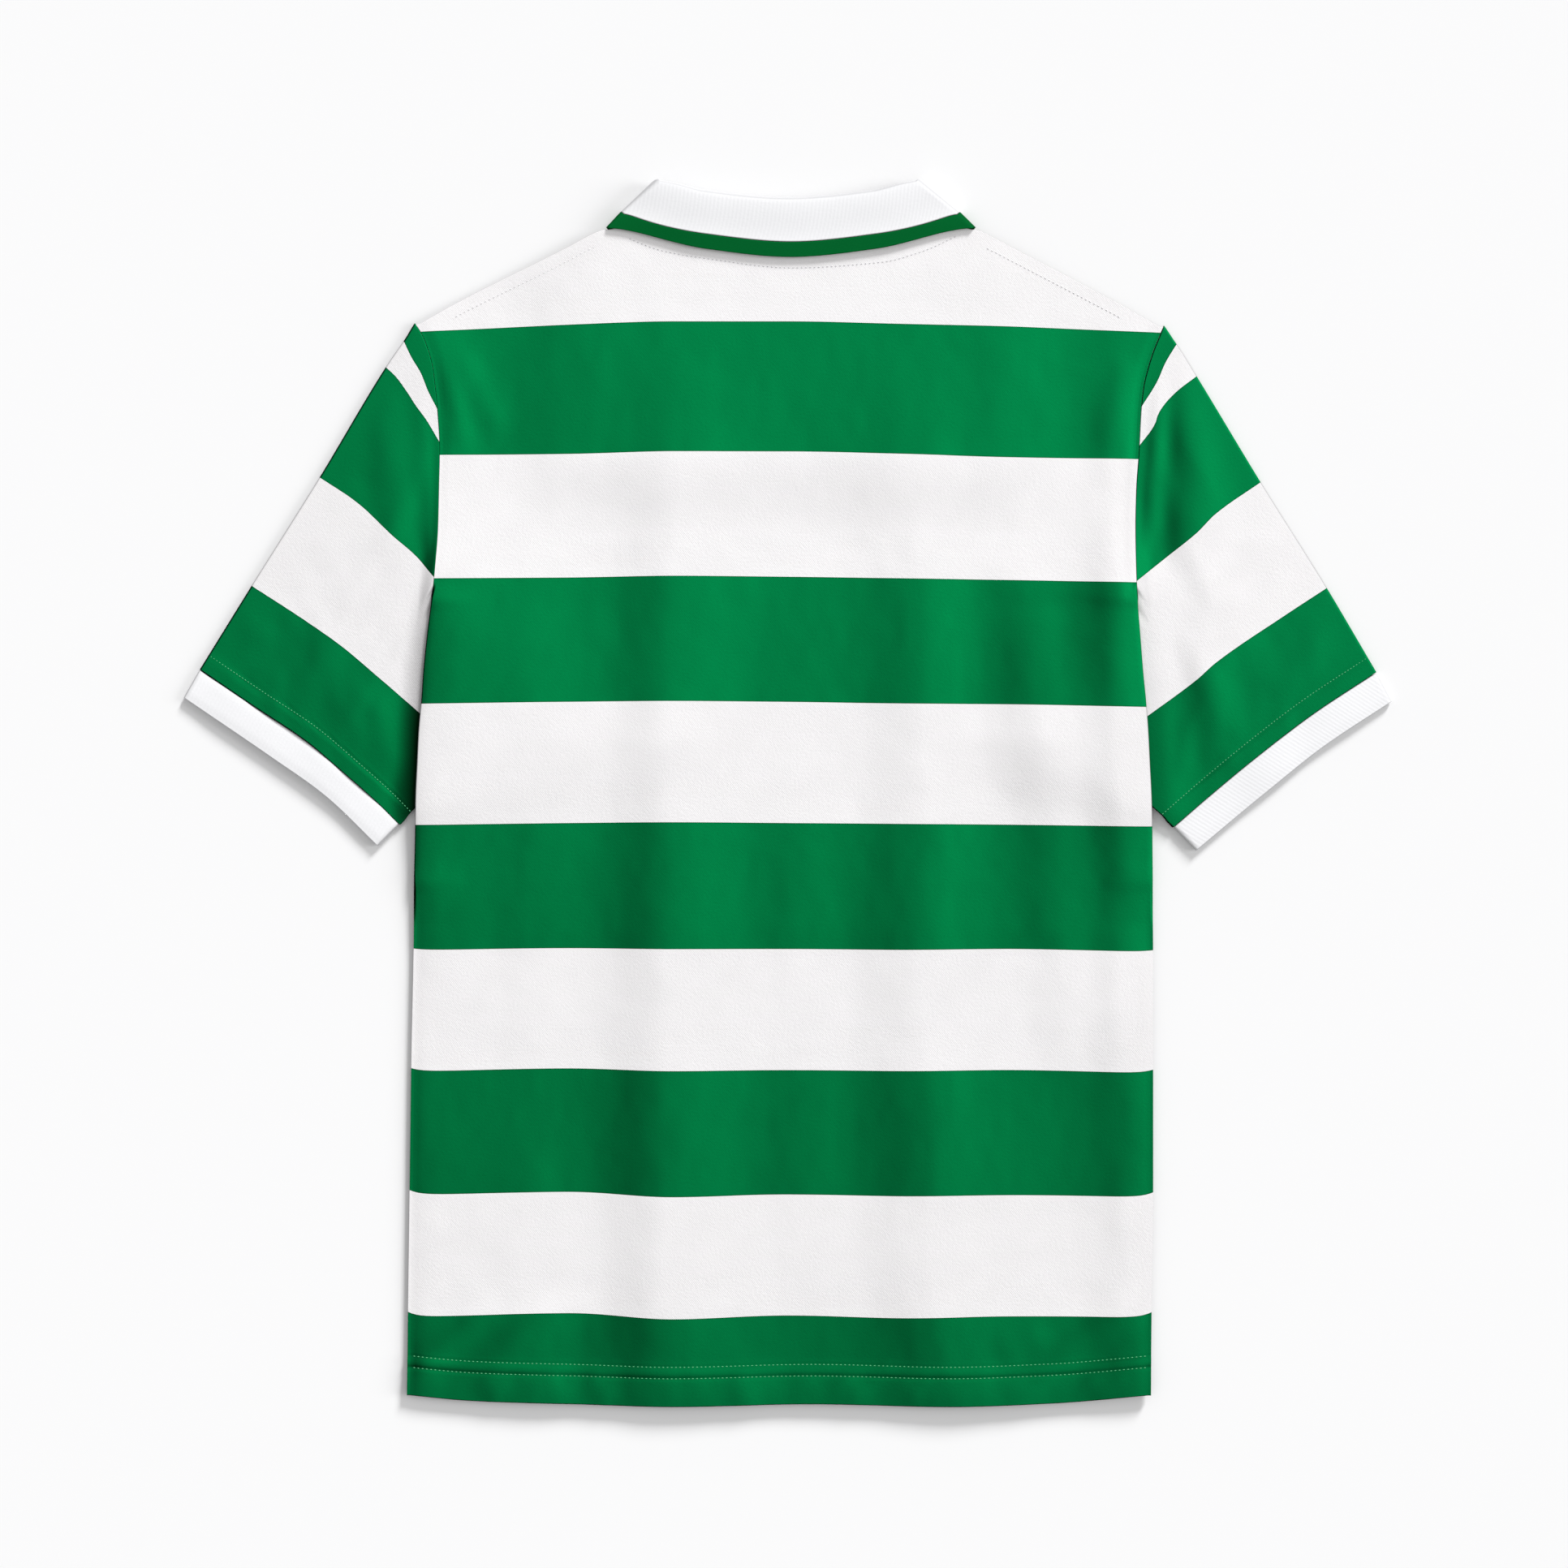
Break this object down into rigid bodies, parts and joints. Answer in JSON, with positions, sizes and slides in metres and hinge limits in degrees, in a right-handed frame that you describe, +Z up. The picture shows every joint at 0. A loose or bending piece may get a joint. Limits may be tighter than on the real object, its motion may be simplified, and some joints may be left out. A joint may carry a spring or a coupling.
{
  "type": "football jersey",
  "caption": "Short-sleeved football jersey with horizontal hoops, a fold-over collar edged in green and rib cuffs, lying flat with its back up.",
  "frame": {"origin": "centre of the bounding box in plan, on the surface the jersey lies on", "axes": "+Z up out of the surface and out of the jersey's back, +Y towards the collar, +X towards the wearer's right sleeve"},
  "size_m": [0.7445, 0.7533, 0.0091],
  "materials": {
    "hooped_cloth": "matte knit",
    "white_rib": "matte rib knit",
    "green_trim": "matte rib knit"
  },
  "bodies": {
    "root": {"front_panel": "hooped_cloth", "back_panel": "hooped_cloth", "sleeve_left": "hooped_cloth", "sleeve_right": "hooped_cloth", "cuff_left": "white_rib", "cuff_right": "white_rib", "collar": "white_rib", "collar_band": "green_trim"}
  },
  "joints": []
}
